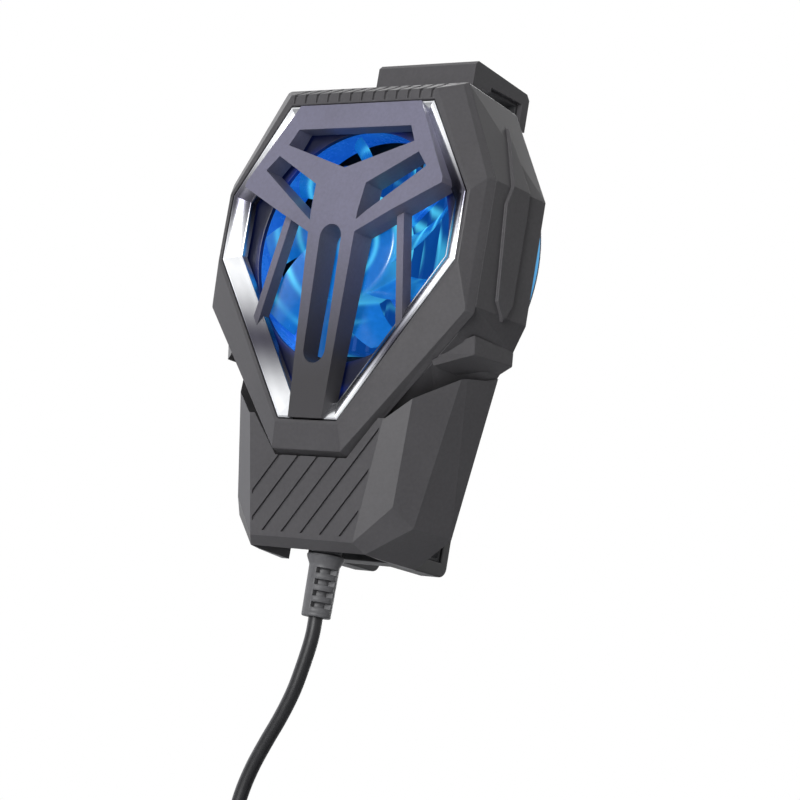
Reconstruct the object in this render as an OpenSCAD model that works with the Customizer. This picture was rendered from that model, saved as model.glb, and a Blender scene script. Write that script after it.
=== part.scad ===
// Clip-on phone cooler: a shield-fronted fan shell over a thermoelectric plate, with a fixed hook,
// a sprung claw and a wound cable. Millimetres: X to the right, Y towards the phone, Z up.
// The origin is the centre of the pad face that touches the phone, on the fan axis.
// Depths are measured forwards from that face, so a depth d lies at Y = -d.

/* [Shell] */
// Width across the straight sides of the shell
shell_w = 51.6; // [51:0.2:55]
// Width of the top edge of the shell
shell_top_w = 23.2; // [21:0.2:26]
// Height of the top edge of the shell above the fan axis
shell_top_z = 26.4; // [26:0.1:27.5]
// Width across the shoulders
shoulder_w = 35.6; // [34:0.2:38]
// Height of the shoulders above the fan axis
shoulder_z = 23.5; // [22.5:0.1:24.5]
// Height of the upper end of the straight sides
side_top_z = 9.7; // [8:0.1:11]
// Drop of the lower end of the straight sides below the fan axis
side_drop = 9; // [8:0.1:10]
// Depth of the rear edge of the shell
shell_back = 3.6; // [3.2:0.1:4]
// Depth of the joint between the shell and the bezel
shell_front = 15.2; // [14.6:0.1:16]
// Wall of the shell and of the chin
wall = 1.6; // [1.2:0.1:2]
// Height that the long side facets stand proud
facet_rise = 0.5; // [0.3:0.1:0.8]

/* [Bezel] */
// Height of the top edge of the bezel
bezel_top_z = 24.3; // [23.8:0.1:25]
// Width of the top edge of the bezel
bezel_top_w = 33.8; // [32:0.2:35]
// Width of the bottom edge of the bezel
bezel_foot_w = 13; // [11:0.2:15]
// Drop of the bottom edge of the bezel below the fan axis
bezel_drop = 31.5; // [30.5:0.1:33]
// Width of the sloping chamfer behind the bezel face
bezel_chamfer = 0.6; // [0.4:0.1:0.8]
// Width of the bezel face along the straight sides
bezel_face = 1.9; // [1.6:0.1:2.4]
// Depth of the front rim
rim_depth = 18.5; // [18:0.1:19.5]
// Height of the top of the rim opening
rim_top_z = 21.4; // [21:0.1:22]
// Width of the top of the rim opening
rim_top_w = 27.6; // [26:0.2:29]
// Drop of the bottom of the rim opening below the fan axis
rim_drop = 27.2; // [26.5:0.1:28]
// Width of the bottom of the rim opening
rim_foot_w = 11.4; // [10.6:0.2:12]
// Ribs along the top of the bezel
rib_count = 12; // [8:1:14]
// Width of the groove between two ribs
rib_groove = 0.5; // [0.3:0.1:0.8]
// Depth of the groove between two ribs
rib_cut = 0.4; // [0.2:0.1:0.6]
// Height of the upright face of the ribs, below their sloping top
rib_face = 1.2; // [0.8:0.1:1.4]
// Width of the chrome trim
trim_w = 2.9; // [2.4:0.1:3.2]
// Fall of the chrome trim towards its inner edge
trim_fall = 1.2; // [0.8:0.1:1.4]

/* [Grille] */
// Depth of the fold across the middle of the grille plate
fold_depth = 20.4; // [19.8:0.1:21]
// Width of the stem at its foot
stem_foot_w = 6.4; // [5.8:0.2:7]
// Width of the stem at the hub
stem_hub_w = 9; // [8.4:0.2:10]
// Width of the slot in the stem
stem_slot_w = 4.1; // [3.4:0.1:4.4]
// Width of the two diagonal arms
arm_w = 1.8; // [1.4:0.1:2.2]
// Width of the two thin ribs
thin_rib_w = 1.2; // [0.8:0.1:1.6]

/* [Chin] */
// Width of the chin below the wings
chin_w = 44.4; // [43:0.2:45]
// Width of the chin at its lower corners
chin_foot_w = 37.2; // [36:0.2:39]
// Drop of the lower corners of the chin
chin_foot_drop = 41.2; // [40.5:0.1:42]
// Width of the bottom edge of the chin at the rear
chin_base_w = 25.8; // [24.6:0.2:27]
// Drop of the bottom edge of the chin at the front
chin_drop = 45.7; // [45.3:0.1:46.4]
// Rise of the underside of the chin towards the rear
chin_rise = 1.4; // [1:0.1:1.8]
// Drop of the rear corners of the chin below its bottom edge
chin_toe = 0.3; // [0.1:0.1:0.6]
// Depth of the chin face at its foot
chin_depth = 15.2; // [14.8:0.1:15.6]
// Slanting grooves on the chin face
groove_count = 7; // [3:1:7]
// Width of a slanting groove
groove_w = 0.5; // [0.3:0.1:0.8]
// Depth of a slanting groove
groove_cut = 0.4; // [0.2:0.1:0.6]

/* [Fan] */
// Diameter over the blades
fan_d = 34.8; // [33:0.2:35]
// Diameter of the hub
hub_d = 17.2; // [16.6:0.2:18]
// Number of blades
blade_count = 9; // [5:1:11]
// Thickness of a blade
blade_t = 0.8; // [0.6:0.1:1]
// Gap between the blades and the fan frame
tip_gap = 0.5; // [0.4:0.1:0.8]
// Wall of the fan frame
frame_wall = 1; // [0.8:0.1:1.2]
// Diameter of the fan shaft
shaft_d = 1.5; // [1.2:0.1:1.8]
// Radial running clearance of the shaft in its bearing
running_gap = 0.03; // [0.02:0.01:0.06]

/* [Cooling stack] */
// Width of the foam gasket round the thermoelectric module
gasket_w = 1.2; // [0.8:0.1:2]
// Thickness of the thermoelectric module
module_t = 2.6; // [2.4:0.1:2.8]
// Side of the square cold plate
plate_w = 26.6; // [25.8:0.2:28]
// Thickness of the contact pad
pad_t = 0.8; // [0.6:0.1:1]
// Height of the heat sink fins
fin_h = 2.6; // [2:0.1:2.8]
// Number of heat sink fins
fin_count = 12; // [8:1:14]

/* [Clamp] */
// Width of the phone between the two claws
phone_w = 71.5; // [70:0.5:74]
// Thickness of the phone that the claws reach round
phone_t = 7.8; // [7:0.1:10]
// Height of the upper claw face above the fan axis
hook_z = 28.9; // [28.6:0.1:29.4]
// Width of the upper claw
hook_w = 18.9; // [17:0.1:20]
// Width of the lower claw
claw_w = 16.6; // [15:0.2:18]
// Width of the gap between the two prongs of the lower claw
prong_gap = 9.2; // [6:0.2:10]
// Thickness of the upper claw over its pad
hook_t = 2.9; // [2.4:0.1:3.2]
// Thickness of the lower claw under its pad
claw_t = 2.2; // [1.8:0.1:2.6]
// Thickness of the rubber on the claws
rubber_t = 0.5; // [0.4:0.1:0.8]
// Reach of a claw lip over the phone
lip_h = 3.6; // [2.5:0.1:4]
// Travel of the lower claw away from the phone
claw_out = 14; // [10:0.5:14]

/* [Cable] */
// Diameter of the cable
cable_d = 2.2; // [2:0.1:2.4]
// Length of the strain relief below the chin
relief_len = 9.2; // [8:0.2:11]
// Diameter of the strain relief
relief_d = 4.6; // [4.2:0.1:5]
// Turns of the put-away coil in each layer
coil_turns = 3; // [2:1:3]
// Layers of the coil
coil_layers = 4; // [2:2:4]
// Radius of the innermost turn
coil_inner_r = 8; // [7:0.5:9]
// Gap between turns and between layers
coil_gap = 0.5; // [0.45:0.05:0.7]

/* [Clearances] */
// Gap between fixed pieces that sit side by side
fit_gap = 0.1; // [0.05:0.01:0.15]
// Gap between pieces that slide past each other
slide_gap = 0.3; // [0.25:0.05:0.4]

/* [Hidden] */
$fn = 48;

grey = "#5a595c";
black = "#1c1c1e";
steel = "#b8babd";

// Outlines seen from the front, clockwise from the right of the top edge, as [x, z]
shell_half = shell_w / 2;
bezel_half = shell_half - bezel_chamfer - 0.8;
rim_half = bezel_half - bezel_face;

shell_rear = mirrored([
    [shell_top_w / 2, shell_top_z],
    [shoulder_w / 2, shoulder_z],
    [shell_half, side_top_z],
    [shell_half, -side_drop],
    [shell_half - 1.6, -side_drop - 4.2],
    [shell_half - 4, -side_drop - 8.7],
    [13, -side_drop - 17]
]);
bezel_loop = mirrored([
    [bezel_top_w / 2, bezel_top_z],
    [bezel_half, side_top_z - 0.1],
    [bezel_half, -side_drop - 0.9],
    [bezel_foot_w / 2, -bezel_drop]
]);
bezel_rear = grown(bezel_loop, bezel_chamfer);
shell_fore = mirrored([
    bezel_rear[0] - [0.4, 0],
    bezel_rear[0] - [0, 0.3],
    bezel_rear[1],
    [bezel_rear[2].x, -side_drop],
    [on_flank(-side_drop - 4.2), -side_drop - 4.2],
    [on_flank(-side_drop - 8.7), -side_drop - 8.7],
    [on_flank(-side_drop - 17) - 0.5, -side_drop - 17]
]);
rim_loop = mirrored([
    [rim_top_w / 2, rim_top_z],
    [rim_half, side_top_z - 2.4],
    [rim_half, -side_drop + 6.1],
    [rim_foot_w / 2, -rim_drop]
]);
trim_inner = grown(rim_loop, -trim_w);
wing_fore = [
    [shell_half - 7.2, -shell_front - 0.8, -side_drop - 7.1],
    [shell_half - 2.1, -shell_front + 2.6, -side_drop - 3.6],
    [shell_half - 2, -shell_front + 3.2, -side_drop - 6.3],
    [shell_half - 6, -shell_front - 0.8, -side_drop - 9]
];
wing_rear = [
    [shell_half - 7.2, -side_drop - 7.1],
    [shell_half - 1.5, -side_drop - 3.9],
    [shell_half - 1.3, -side_drop - 6.1],
    [shell_half - 6, -side_drop - 9]
];

// Depths of the bezel edge at its top, sides and foot, and of its seat for trim and grille
bezel_edge = [rim_depth - 2.3, rim_depth - 1.9, rim_depth - 1.1];
seat_depth = shell_front + 0.8;

// The stack on the fan axis, from the phone forwards
plate_back = pad_t;
module_w = plate_w - 2 * (gasket_w + fit_gap);
module_back = shell_back - 1;
module_front = module_back + module_t;
chassis_front = module_front;
core_back = shell_back - 1.4;
sink_base_t = 1.2;
fin_front = chassis_front + sink_base_t + fin_h;
floor_back = fin_front + 0.2;
floor_t = 1;
rotor_back = floor_back + floor_t + 0.8;
rotor_front = shell_front + 0.4;
frame_r = fan_d / 2 + tip_gap;
screw_r = 0.8;
head_r = 1.4;
post_r = 1.8;
fan_post = (frame_r + frame_wall + post_r - 0.3) / sqrt(2);

// The rear ring of light and the disc behind it
light_r = min(shell_half - 0.3, shell_top_z - 0.9);
core_r = light_r - 3.3;
disc_r = light_r - 1.3;

// The opening through the foot of the shell into the chin
chin_pass_w = 27;

// The clamp
claw_z = hook_z - phone_w;
slide_front = shell_back - slide_gap;
slide_back = slide_front - 1.8;
bracket_back = 0.6;
rail_back = slide_back - slide_gap;
slide_top = claw_z + 22.6;
channel_top = slide_top + slide_gap;
rail_w = 2.8;
rail_x = claw_w / 2 + slide_gap + rail_w / 2;
notch_w = 2 * rail_x + rail_w + 4 * fit_gap;
lip_t = 1.7;
post_z = claw_z + 20;
pin_r = 0.7;
spring_foot = claw_z + 3.6;
spring_d = 1.6;
spring_wire = 0.3;
spring_curls = 16;

// The cable: its route from the strain relief to the coil, then the coil and its tail
relief_y = -8.7;
relief_foot = -chin_drop - relief_len;
coil_pitch = cable_d + coil_gap;
coil_outer_r = coil_inner_r + coil_pitch * coil_turns;
coil_z = -101;
coil_x = coil_outer_r - 9;
tail_len = 12;
lead_route = [
    [0, relief_y, relief_foot],
    [0, relief_y, relief_foot - 2],
    [-0.2, relief_y, relief_foot - 4],
    [-0.8, relief_y, -62],
    [-1.8, relief_y, -66],
    [-3.4, relief_y, -70],
    [-5.4, relief_y, -74],
    [-7.2, relief_y, -78],
    [-8.4, relief_y, -82],
    [-8.9, relief_y, -86],
    [-9, relief_y, -90],
    [-9, relief_y, -94],
    [-9, relief_y, coil_z + cable_d]
];

// Mirrors the right-hand points of an outline to close it on the left
function mirrored(half) = concat(half, [for (i = [len(half) - 1:-1:0]) [-half[i].x, half[i].y]]);

function unit(v) = v / norm(v);

// Half width of the lower flank of the bezel's rear outline at a height
function on_flank(z) =
    let (a = bezel_rear[2], b = bezel_rear[3])
    b.x + (a.x - b.x) * (z - b.y) / (a.y - b.y);

// Outward normal of the edge from p to q of a clockwise outline
function edge_normal(p, q) = unit([p.y - q.y, q.x - p.x]);

// Clockwise outline moved outwards by d, with mitred corners
function grown(loop, d) = [
    for (i = [0:len(loop) - 1])
        let (
            n = len(loop),
            before = edge_normal(loop[(i + n - 1) % n], loop[i]),
            after = edge_normal(loop[i], loop[(i + 1) % n])
        )
        loop[i] + (before + after) * d / (1 + before * after)
];

// Outline placed at a depth
function at_depth(loop, depth) = [for (p = loop) [p.x, -depth, p.y]];

// Solid between two depths with one outline
module slab(loop, front, back) {
    translate([0, -back, 0])
        rotate([90, 0, 0])
            linear_extrude(front - back)
                polygon(loop);
}

// Solid skinned over rings of points, the first ring in front
module skin(rings) {
    n = len(rings[0]);
    last = len(rings) - 1;
    polyhedron(
        points = [for (ring = rings) for (p = ring) p],
        faces = concat(
            [[for (i = [0:n - 1]) i]],
            [
                for (a = [0:n:(last - 1) * n])
                    for (i = [0:n - 1])
                        [a + i, a + n + i, a + n + (i + 1) % n]
            ],
            [
                for (a = [0:n:(last - 1) * n])
                    for (i = [0:n - 1])
                        [a + i, a + n + (i + 1) % n, a + (i + 1) % n]
            ],
            [[for (i = [n - 1:-1:0]) last * n + i]]
        ),
        convexity = 6
    );
}

// Round bar along the depth at [x, z]
module peg(r, front, back, x = 0, z = 0) {
    translate([x, -back, z])
        rotate([90, 0, 0])
            cylinder(r = r, h = front - back);
}

// Round tube along the depth on the fan axis
module pipe(outer, inner, front, back) {
    difference() {
        peg(outer, front, back);
        peg(inner, front + 1, back - 1);
    }
}

// Box centred on the fan axis in X and Z
module plate(w, h, front, back, x = 0, z = 0) {
    translate([x - w / 2, -front, z - h / 2])
        cube([w, front - back, h]);
}

// Copies the children to the left side
module both() {
    children();
    mirror([1, 0, 0]) children();
}

// Screw along the depth, head flush at head_back and towards the phone
module screw(x, z, head_back, head_t, len) {
    peg(head_r, head_back + head_t, head_back, x, z);
    peg(screw_r - fit_gap / 2, head_back + len, head_back + head_t, x, z);
}

// Hole for such a screw, sunk for its head
module screw_hole(x, z, head_back, head_t, len) {
    peg(head_r + fit_gap, head_back + head_t, head_back - 1, x, z);
    peg(screw_r, head_back + len + fit_gap, head_back, x, z);
}

// Side profile of [y, z] points drawn out to a width along X
module profile(points, w) {
    translate([-w / 2, 0, 0])
        rotate([90, 0, 90])
            linear_extrude(w)
                polygon(points);
}

// Tube of the given diameter along a route, with frames turned about the guide direction
module tube(route, d, sides, guide) {
    last = len(route) - 1;
    skin([
        for (i = [0:last])
            let (
                along = unit(route[min(i + 1, last)] - route[max(i - 1, 0)]),
                across = unit(cross(along, guide)),
                up = cross(across, along)
            )
            [
                for (k = [0:sides - 1])
                    route[i] + d / 2 * (across * cos(360 * k / sides) + up * sin(360 * k / sides))
            ]
    ]);
}

// Bezel edge with its own depth at the top, sides and foot
function bezel_ring() = [
    for (i = [0:len(bezel_loop) - 1])
        let (k = min(i, len(bezel_loop) - 1 - i))
        [bezel_loop[i].x, -bezel_edge[k == 0 ? 0 : k == 3 ? 2 : 1], bezel_loop[i].y]
];

module front_bezel() color(grey) {
    edge = grown(rim_loop, 0.5);
    last = len(edge) - 1;
    lip = [for (i = [0:last]) edge[i] + [0, i == 0 || i == last ? rib_face : 0]];
    fall = rim_depth - bezel_edge[0];
    rise = bezel_top_z - lip[0].y;
    slope = norm([rise, fall]);
    groove = [
        [-1, -rib_face - 0.2],
        [rib_cut, -rib_face - 0.2],
        [rib_cut, rib_cut * (rise - slope) / fall],
        [fall + 1.5, rise + (1.5 * rise - rib_cut * slope) / fall],
        [fall + 1.5, rise + 1],
        [-1, rise + 1]
    ];
    difference() {
        skin([at_depth(lip, rim_depth), bezel_ring(), at_depth(bezel_rear, shell_front)]);
        slab(rim_loop, rim_depth + 1, seat_depth);
        slab(grown(rim_loop, -1), seat_depth + 1, shell_front - 1);
        for (i = [0:rib_count])
            translate([(rim_top_w - 1.2) * (i / rib_count - 0.5), -rim_depth, lip[0].y])
                profile(groove, rib_groove);
    }
}

module chrome_trim() color("#d8dade") {
    outer = grown(rim_loop, -fit_gap);
    difference() {
        slab(outer, rim_depth, seat_depth);
        slab(trim_inner, rim_depth + 1, seat_depth - 1);
        skin([
            at_depth(grown(outer, 0.8), rim_depth + trim_fall * 0.35),
            at_depth(trim_inner, rim_depth - trim_fall)
        ]);
        slab(grown(panel_loop, fit_gap), fold_depth + 1, seat_depth - 1);
        slab(grown(stem_loop, fit_gap), fold_depth + 1, seat_depth - 1);
        both() intersection() {
            slab(grown(rib_half, fit_gap), fold_depth, seat_depth - 1);
            slab(grown(rim_loop, -1.2 + fit_gap), fold_depth, seat_depth - 2);
        }
    }
}

// Plate, stem and thin ribs of the grille, inside the trim
panel_loop = mirrored([
    [trim_inner[0].x - 0.6, rim_top_z - 2 * fit_gap],
    trim_inner[1] + [-0.8, 2.6],
    trim_inner[1] + [-0.7, 1.7],
    [stem_hub_w / 2, 0.9]
]);
stem_loop = mirrored([
    [stem_hub_w / 2, 2],
    [stem_foot_w / 2, -rim_drop + 2 * fit_gap]
]);
window_loop = mirrored([[panel_loop[0].x - 0.8, 17.3], [panel_loop[0].x + 0.5, 14.8], [0.01, 10.9]]);
slot_half = [[13.4, 13.1], [15.4, 10.8], [4.4, 0.9 + arm_w], [4.8, 8.4]];
rib_top = [10.4, 3.6];
rib_foot = [13.8, -12.4];
rib_half = [
    rib_top + [-thin_rib_w / 2, 1.8],
    rib_top + [thin_rib_w / 2, 2.4],
    rib_foot + [thin_rib_w / 2, 0],
    rib_foot + [0.5 + thin_rib_w / 2, -2.4],
    rib_foot + [0.5 - thin_rib_w / 2, -2.4],
    rib_foot + [-thin_rib_w / 2, 0]
];

module grille() color(grey) {
    stem_fold = [
        [-seat_depth, panel_loop[0].y + 1],
        [-rim_depth - 0.1, panel_loop[0].y + 1],
        [-rim_depth - 0.2, panel_loop[0].y],
        [-fold_depth, 4],
        [-rim_depth - 0.5, stem_loop[1].y],
        [-rim_depth - 0.4, stem_loop[1].y - 1],
        [-seat_depth, stem_loop[1].y - 1]
    ];
    difference() {
        union() {
            intersection() {
                union() {
                    slab(panel_loop, fold_depth + 1, seat_depth);
                    slab(stem_loop, fold_depth + 1, seat_depth);
                }
                profile(stem_fold, 60);
            }
            intersection() {
                both() slab(rib_half, rim_depth - 0.5, seat_depth);
                slab(grown(rim_loop, -1.2), fold_depth, seat_depth - 1);
            }
        }
        slab(window_loop, fold_depth + 1, seat_depth - 1);
        both() slab(slot_half, fold_depth + 1, seat_depth - 1);
        peg(stem_slot_w / 2, fold_depth + 1, seat_depth - 1, 0, 0);
        peg(stem_slot_w / 2, fold_depth + 1, seat_depth - 1, 0, -16.8);
        plate(stem_slot_w, 16.8, fold_depth + 1, seat_depth - 1, 0, -8.4);
    }
}

module fan_shroud() color(black) difference() {
    slab(grown(rim_loop, bezel_chamfer), shell_front, shell_front - 0.8);
    peg(frame_r, shell_front + 1, shell_front - 2);
}

// Spot of a post that joins the wall along an edge of the space inside the shell
function by_wall(edge, share) =
    let (a = cavity_loop[edge], b = cavity_loop[edge + 1])
    a + share * (b - a) - (post_r - 0.15) * edge_normal(a, b);

// Space inside the shell, clear of both its front and rear outlines by the wall
cavity_loop = grown(mirrored([
    bezel_rear[0] - [2.4, 0],
    bezel_rear[0] + 0.15 * (bezel_rear[1] - bezel_rear[0]),
    bezel_rear[1],
    shell_fore[3],
    shell_fore[4],
    shell_fore[5],
    shell_fore[6]
]), -wall);
boss_spots = [by_wall(1, 0.48), by_wall(2, 0.92)];
chin_boss = [chin_foot_w / 2 - 3.4, -chin_foot_drop + 4.2];
chin_head = -side_drop - 5.5;
chin_sill = -chin_drop + 1.4;

module mid_housing() color(grey) {
    side_facet = [
        [-8.6, side_top_z + 10.1],
        [-12.6, side_top_z - 2.7],
        [-11.2, -side_drop + 1.8],
        [-9.2, -side_drop - 0.8],
        [-7.8, -side_drop + 2],
        [-7.8, side_top_z - 2.7]
    ];
    difference() {
        union() {
            difference() {
                union() {
                    skin([at_depth(shell_fore, shell_front), at_depth(shell_rear, shell_back)]);
                    intersection() {
                        skin([
                            at_depth(grown(shell_fore, facet_rise), shell_front),
                            at_depth(grown(shell_rear, facet_rise), shell_back)
                        ]);
                        profile(side_facet, 2 * shell_w);
                    }
                    both() skin([wing_fore, at_depth(wing_rear, shell_back)]);
                }
                slab(cavity_loop, shell_front + 2, shell_back - 1);
                slab(grown(rim_loop, 0.9), shell_front + 2, shell_back - 1);
                slab(grown(bezel_rear, fit_gap), shell_front + 2, shell_front);
                plate(chin_pass_w, 20, shell_front - 4, shell_back - 1, 0, -side_drop - 18);
            }
            for (spot = boss_spots)
                both() peg(post_r, shell_front - 4, chassis_front, spot.x, spot.y);
        }
        for (spot = boss_spots)
            both() peg(screw_r, shell_front - 5, chassis_front - 1, spot.x, spot.y);
    }
}

// Depth of the leaning chin face at a height
function chin_face(z) = chin_depth + 2.4 * (z - chin_sill) / (chin_head - chin_sill);

// Height of the chin's base at a share of the way to its rear corners, which drop as toes, or of its
// floor, which rises, where a wall t is given
function chin_base(t, share) = -chin_drop + share * (t > 0 ? chin_rise : -chin_toe) + t;

// Rings of the chin from its face to its rear edge, moved in by a wall t
function chin_half(t) = [
    [
        [14.7 - t, t - chin_face(chin_head + 3 * t), chin_head + 3 * t],
        [10.7 - t, t - chin_face(-chin_foot_drop + 2.6), -chin_foot_drop + 2.6],
        [9.8 - t, t - chin_face(chin_sill + t), chin_sill + t]
    ],
    [
        [17.4 - t, -chin_depth - 1.1 + t, chin_head + 3 * t],
        [14.9 - t, -chin_depth + 1.5 + t, -chin_foot_drop + 2.7 + 0.3 * t],
        [11 - 0.8 * t, -chin_depth + 1.9 + 0.5 * t, -chin_drop + 0.1 + t]
    ],
    [
        [chin_w / 2 - 0.5 - t, -chin_depth + 4.8 + 0.6 * t, chin_head + 3 * t],
        [chin_foot_w / 2 - 1.8 - t, -chin_depth + 4.7 + 0.6 * t, -chin_foot_drop + 0.3 + 0.5 * t],
        [chin_base_w / 2 - 1.3 - 0.5 * t, -chin_depth + 4.7 + 0.6 * t, chin_base(t, 0.3)]
    ],
    [
        [chin_w / 2 + 0.5 - t, -shell_back + 2 * t, chin_head + 3 * t],
        [chin_foot_w / 2 - t, -shell_back + 2 * t, -chin_foot_drop + 0.5 * t],
        [chin_base_w / 2 - 0.6 * t, -shell_back + 2 * t, chin_base(t, 1)]
    ]
];
function chin_rings(t) = [
    for (half = chin_half(t))
        concat(half, [for (i = [2:-1:0]) [-half[i].x, half[i].y, half[i].z]])
];

// Opening under the chin between its toes, given its half width and its rise
function arch(half, rise) = mirrored([[half, -chin_drop + 0.1 + rise], [half, -chin_drop - 2]]);

module chin_cover() color(grey) {
    face_tilt = atan2(2.4, chin_head - chin_sill);
    face_half = mirrored([[12.6, -bezel_drop + 6], [9.6, -chin_drop + 2.2]]);
    difference() {
        union() {
            difference() {
                hull()
                    skin(chin_rings(0));
                hull()
                    skin(chin_rings(wall));
            }
            both() peg(post_r, chin_depth - 4, chassis_front, chin_boss.x, chin_boss.y);
        }
        both() peg(screw_r, chin_depth - 5, chassis_front - 1, chin_boss.x, chin_boss.y);
        slab(grown(shell_rear, fit_gap), shell_front + 5, shell_back - 1);
        both() slab(grown(wing_rear, fit_gap), shell_front + 5, shell_back - 1);
        slab(grown(bezel_rear, fit_gap), shell_front + 5, shell_front - 2.4);
        skin([
            at_depth(arch(11, 0), chin_depth - 1.9),
            at_depth(arch(chin_base_w / 2 - 1.4, 1.1 * chin_rise), shell_back - 1)
        ]);
        translate([0, relief_y, -chin_drop])
            cylinder(r = relief_d / 2 + fit_gap, h = 6, center = true);
        intersection() {
            translate([0, -chin_depth, chin_sill])
                rotate([face_tilt, 0, 0])
                    for (i = [0:groove_count - 1])
                        translate([3.7 * (i - 2.9), 0, 6])
                            rotate([0, 38, 0])
                                cube([groove_w, 2 * groove_cut, 40], center = true);
            slab(face_half, shell_front + 5, chin_depth - 1);
        }
    }
}

window_w = plate_w + 2 * fit_gap;
sink_w = window_w + 2.4;
back_screw_spots = [[core_r - 3.6, 6], [core_r - 3.6, -6]];
board_posts = [[9, -27], [9, -37]];
board_back = -relief_y - 0.5;
bracket_span = [slide_top - 3.4, slide_top - claw_out - 3.6];
bracket_screw_spots = [[rail_x, bracket_span[0] - 1.6], [rail_x, bracket_span[1] + 1.6]];
rail_top = slide_top - 1;
rail_foot = -chin_drop + chin_rise + wall + 0.4;

// Slide channel of the lower claw, cut out of the discs above it
module channel(w) {
    plate(w, 40, 10, -1, 0, channel_top - 20);
}

module chassis() color(black) {
    chin_plate = mirrored([
        [chin_pass_w / 2 - 2 * fit_gap, -side_drop - 4],
        [chin_pass_w / 2 - 2 * fit_gap, -side_drop - 17.1],
        [shell_half - 7.2, -side_drop - 12],
        [chin_foot_w / 2 - wall - 1.6, -chin_foot_drop + 1.6],
        [chin_base_w / 2 - wall + 0.4, -chin_drop + chin_rise + wall + 0.2]
    ]);
    difference() {
        union() {
            slab(grown(cavity_loop, -fit_gap), chassis_front, shell_back);
            slab(chin_plate, chassis_front, shell_back);
            difference() {
                peg(core_r, shell_back + 0.1, core_back);
                channel(claw_w + 2 * slide_gap);
            }
            for (sz = [-1, 1])
                both() peg(post_r, floor_back, shell_back + 0.1, fan_post, sz * fan_post);
            for (spot = board_posts)
                both() peg(1.2, board_back, shell_back + 0.1, spot.x, spot.y);
            both() plate(rail_w, rail_top - rail_foot, shell_back + 0.1, rail_back, rail_x,
                (rail_top + rail_foot) / 2);
        }
        plate(window_w, window_w, chassis_front + 1, core_back - 1);
        for (sz = [-1, 1])
            both() peg(screw_r, floor_back + 1, floor_back - 3, fan_post, sz * fan_post);
        for (spot = boss_spots)
            both() screw_hole(spot.x, spot.y, shell_back, 0.6, 5);
        both() screw_hole(chin_boss.x, chin_boss.y, shell_back, 0.6, 5);
        for (spot = back_screw_spots)
            both() peg(screw_r, core_back + 2, core_back - 1, spot.x, spot.y);
        for (spot = bracket_screw_spots)
            both() peg(screw_r, rail_back + 2.4, rail_back - 1, spot.x, spot.y);
        peg(pin_r, shell_back + 1.2, shell_back - 1, 0, post_z);
    }
}

module back_plate() color(black) difference() {
    union() {
        difference() {
            peg(disc_r, core_back, plate_back);
            channel(notch_w);
        }
        plate(hook_w - 4, hook_z - 20.5, core_back, plate_back, 0, (hook_z + 19.5) / 2);
    }
    plate(window_w, window_w, core_back + 1, plate_back - 1);
    for (spot = back_screw_spots)
        both() screw_hole(spot.x, spot.y, plate_back, 0.6, 4);
    both() screw_hole(hook_screw.x, hook_screw.y, plate_back, 0.6, 4);
}

module light_ring() color("#3aa0ff") difference() {
    pipe(light_r, core_r + fit_gap, shell_back, core_back);
    translate([0, 0, -core_r]) cube([notch_w, 20, 14], center = true);
}

module lamp_board() color("#1f5c3a") {
    pipe(lamp_r, frame_r + frame_wall + fit_gap / 2, lamp_depth + 1.1, lamp_depth - 1.1);
}
lamp_r = frame_r + frame_wall + 0.6;
lamp_depth = floor_back + floor_t + 1.8;
lamp_count = 12;

module lamps() color("#bfe4ff") {
    for (i = [0:lamp_count - 1])
        rotate([0, 360 * (i + 0.5) / lamp_count, 0])
            translate([lamp_r + 0.4, -lamp_depth, 0])
                cube([0.8, 1.6, 1.6], center = true);
}

bearing_r = 1.6;
tube_r = bearing_r + 0.8;
tube_front = rotor_front - 1.8;

module fan_frame() color("#9fd0ff") difference() {
    union() {
        pipe(frame_r + frame_wall, frame_r, shell_front - 0.8, floor_back + 0.2);
        peg(6.4, floor_back + floor_t, floor_back);
        for (a = [45, 135])
            rotate([0, a, 0])
                plate(2 * fan_post * sqrt(2), 2.6, floor_back + floor_t - 0.1, floor_back + 0.1);
        for (sz = [-1, 1])
            both() peg(post_r, floor_back + floor_t, floor_back, fan_post, sz * fan_post);
        peg(tube_r, tube_front, floor_back);
    }
    peg(bearing_r + 0.02, tube_front + 1, floor_back + 0.2);
    for (sz = [-1, 1])
        both() peg(screw_r, floor_back + 3, floor_back - 1, fan_post, sz * fan_post);
}

// One blade as rings of four corners from the hub to the tip, pitched and swept back
function blade_rings(steps) = [
    for (j = [0:steps])
        let (
            r = hub_d / 2 - 0.4 + (fan_d / 2 - hub_d / 2 + 0.4) * j / steps,
            mid = 22 * j / steps,
            half = (17 - 4 * j / steps) * 9 / r,
            thin = asin(blade_t / r)
        )
        [
            blade_corner(r, mid + half + thin, rotor_back + 0.4),
            blade_corner(r, mid - half + thin, rotor_front - 0.3),
            blade_corner(r, mid - half - thin, rotor_front - 0.3),
            blade_corner(r, mid + half - thin, rotor_back + 0.4)
        ]
];
function blade_corner(r, a, depth) = [r * cos(a), -depth, r * sin(a)];

hub_wall = 0.8;
cup_r = hub_d / 2 - hub_wall - 0.3;

module fan_rotor() color("#2f7fe8") {
    difference() {
        union() {
            difference() {
                peg(hub_d / 2, rotor_front, rotor_back);
                peg(cup_r, rotor_front - hub_wall, rotor_back - 1);
            }
            peg(shaft_d / 2 + 0.8, rotor_front - 0.1, rotor_front - hub_wall - 0.6);
        }
        peg(shaft_d / 2 + 0.01, rotor_front - 0.4, rotor_front - 3);
    }
    intersection() {
        union() for (i = [0:blade_count - 1])
            rotate([0, 360 * i / blade_count, 0]) skin(blade_rings(5));
        pipe(fan_d / 2 - 0.02, hub_d / 2 - 0.3, rotor_front + 1, rotor_back - 1);
    }
}

module rotor_magnet() color("#303236") {
    pipe(cup_r - 0.05, cup_r - 0.9, rotor_front - hub_wall - 0.2, rotor_back + 0.4);
}

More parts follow.
